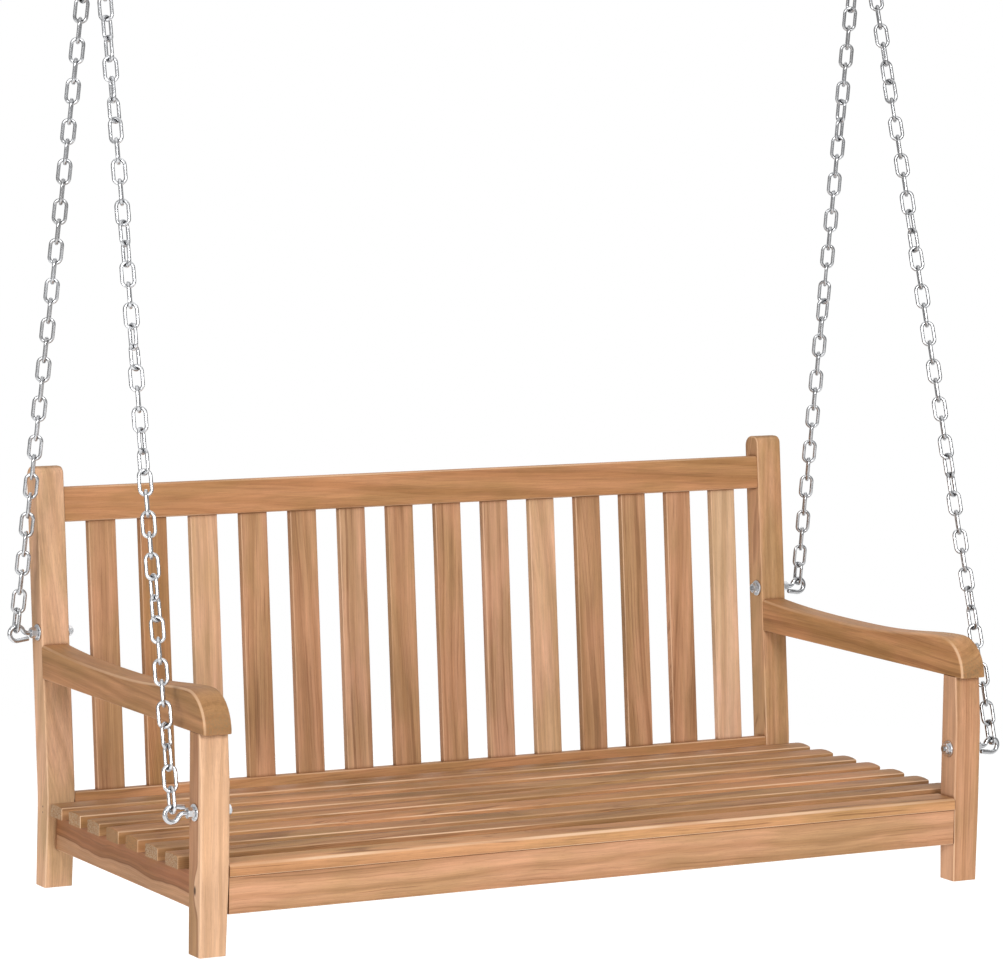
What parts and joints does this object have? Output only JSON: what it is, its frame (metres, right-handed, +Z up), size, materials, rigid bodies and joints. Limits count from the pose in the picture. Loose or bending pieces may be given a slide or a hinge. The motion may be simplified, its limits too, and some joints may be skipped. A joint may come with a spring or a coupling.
{
  "type": "hanging garden bench",
  "caption": "Slatted wooden garden bench that hangs from chains, rings and ceiling hooks, with arms, a slatted back and a slatted seat.",
  "frame": {"origin": "middle of the footprint, at the level of the bench's feet", "axes": "+X to the sitter's left, which is the viewer's right from the front; +Y towards the back; +Z up"},
  "size_m": [1.2894, 0.5742, 1.4942],
  "materials": {
    "teak": "fine-sanded, unoiled",
    "zinc_steel": "bright zinc plated"
  },
  "bodies": {
    "ceiling_hooks": {"ceiling_hook_left": "zinc_steel", "ceiling_hook_right": "zinc_steel"},
    "ring_left": {"hanging_ring_left": "zinc_steel"},
    "ring_right": {"hanging_ring_right": "zinc_steel"},
    "chain_front_left": {"chain_front_left": "zinc_steel"},
    "chain_front_right": {"chain_front_right": "zinc_steel"},
    "chain_rear_left": {"chain_rear_left": "zinc_steel"},
    "chain_rear_right": {"chain_rear_right": "zinc_steel"},
    "bench": {"arm_left": "teak", "arm_right": "teak", "back_slat_01": "teak", "back_slat_02": "teak", "back_slat_03": "teak", "back_slat_04": "teak", "back_slat_05": "teak", "back_slat_06": "teak", "back_slat_07": "teak", "back_slat_08": "teak", "back_slat_09": "teak", "back_slat_10": "teak", "back_slat_11": "teak", "back_slat_12": "teak", "back_slat_13": "teak", "back_slat_14": "teak", "centre_bearer": "teak", "front_apron": "teak", "front_post_left": "teak", "front_post_right": "teak", "hook_bolt_front_left": "zinc_steel", "hook_bolt_front_right": "zinc_steel", "hook_bolt_rear_left": "zinc_steel", "hook_bolt_rear_right": "zinc_steel", "inner_nuts": "zinc_steel", "inner_washers": "zinc_steel", "lower_back_rail": "teak", "outer_nuts": "zinc_steel", "outer_washers": "zinc_steel", "post_pins": "zinc_steel", "rear_post_left": "teak", "rear_post_right": "teak", "rear_seat_rail": "teak", "seat_slat_1": "teak", "seat_slat_2": "teak", "seat_slat_3": "teak", "seat_slat_4": "teak", "seat_slat_5": "teak", "seat_slat_6": "teak", "seat_slat_7": "teak", "seat_slat_8": "teak", "side_rail_left": "teak", "side_rail_right": "teak", "slat_screws": "zinc_steel", "top_rail": "teak"}
  },
  "joints": [
    {"name": "swing", "type": "hinge", "parent": "ceiling_hooks", "child": "ring_left", "pos_m": [-0.598, 0.0672, 1.3822], "axis": [1, 0, 0], "range_deg": [-20, 20]},
    {"name": "swing_right", "type": "hinge", "parent": "ceiling_hooks", "child": "ring_right", "pos_m": [0.598, 0.0672, 1.3822], "axis": [1, 0, 0], "range_deg": [-20, 20]},
    {"name": "sway", "type": "hinge", "parent": "ring_left", "child": "chain_front_left", "pos_m": [-0.59872, 0.06018, 1.33898], "axis": [0, 0.9628, -0.2701], "range_deg": [-4, 4]},
    {"name": "bench_level", "type": "hinge", "parent": "chain_front_left", "child": "bench", "pos_m": [-0.63171, -0.26257, 0.18864], "axis": [0, 0.9628, -0.2701], "range_deg": [-4, 4]},
    {"name": "sway_front_right", "type": "hinge", "parent": "ring_right", "child": "chain_front_right", "pos_m": [0.59872, 0.06018, 1.33898], "axis": [0, 0.9628, -0.2701], "range_deg": [-4.1, 4.1]},
    {"name": "sway_rear_left", "type": "hinge", "parent": "ring_left", "child": "chain_rear_left", "pos_m": [-0.59885, 0.07177, 1.33842], "axis": [0, 0.9844, 0.176], "range_deg": [-5, 5]},
    {"name": "sway_rear_right", "type": "hinge", "parent": "ring_right", "child": "chain_rear_right", "pos_m": [0.59885, 0.07177, 1.33842], "axis": [0, 0.9844, 0.176], "range_deg": [-5, 5]}
  ],
  "couplings": [
    {"joint": "swing_right", "follows": "swing", "ratio": 1},
    {"joint": "bench_level", "follows": "sway", "ratio": -0.9469},
    {"joint": "sway_front_right", "follows": "sway", "ratio": 1},
    {"joint": "sway_rear_left", "follows": "sway", "ratio": 1.1765},
    {"joint": "sway_rear_right", "follows": "sway", "ratio": 1.1765}
  ]
}
